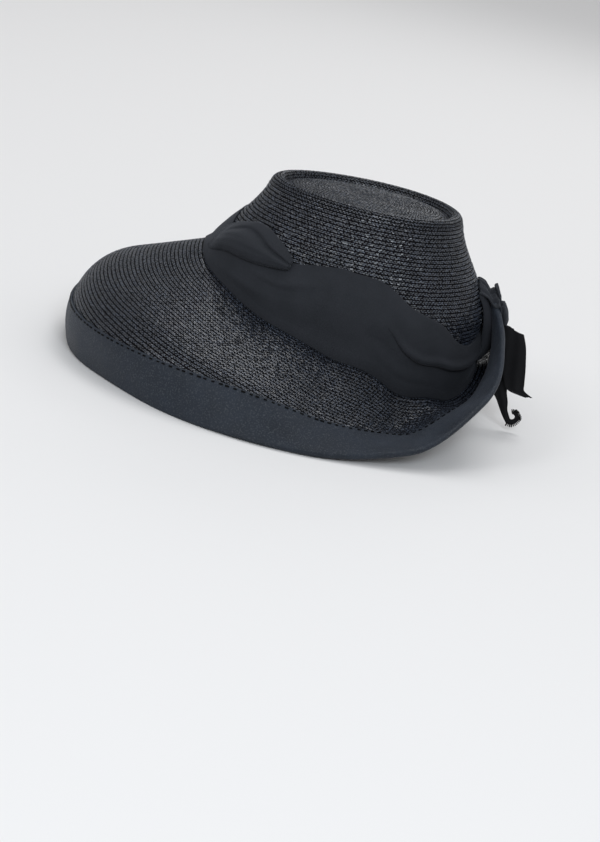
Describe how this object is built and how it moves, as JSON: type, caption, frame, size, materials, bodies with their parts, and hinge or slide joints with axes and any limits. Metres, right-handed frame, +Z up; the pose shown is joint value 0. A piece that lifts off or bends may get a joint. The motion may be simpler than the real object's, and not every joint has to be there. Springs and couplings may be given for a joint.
{
  "type": "wide-brim straw hat",
  "caption": "Black sewn-braid straw hat with a deep sloping brim turned up at the back, a draped crepe scarf round the crown, and tails that hang from a knot behind.",
  "frame": {"origin": "middle of the hat's footprint, on the level plane that its rim rests on", "axes": "+Z up from the rim's plane, -Y towards the front of the hat, +X towards the wearer's left"},
  "size_m": [0.3428, 0.357, 0.1535],
  "materials": {
    "straw_braid": "black dyed straw braid with a soft gloss",
    "ribbon": "black ribbed ribbon, matt",
    "crepe": "black crepe, matt"
  },
  "bodies": {
    "root": {"crown": "straw_braid", "brim": "straw_braid", "brim_binding": "ribbon", "scarf_lower_fold": "crepe", "scarf_upper_fold": "crepe", "scarf_twist": "crepe", "scarf_strap": "crepe", "scarf_knot": "crepe", "scarf_end_stub": "crepe", "scarf_tail_broad": "crepe", "scarf_tail_fringed": "crepe"}
  },
  "joints": []
}
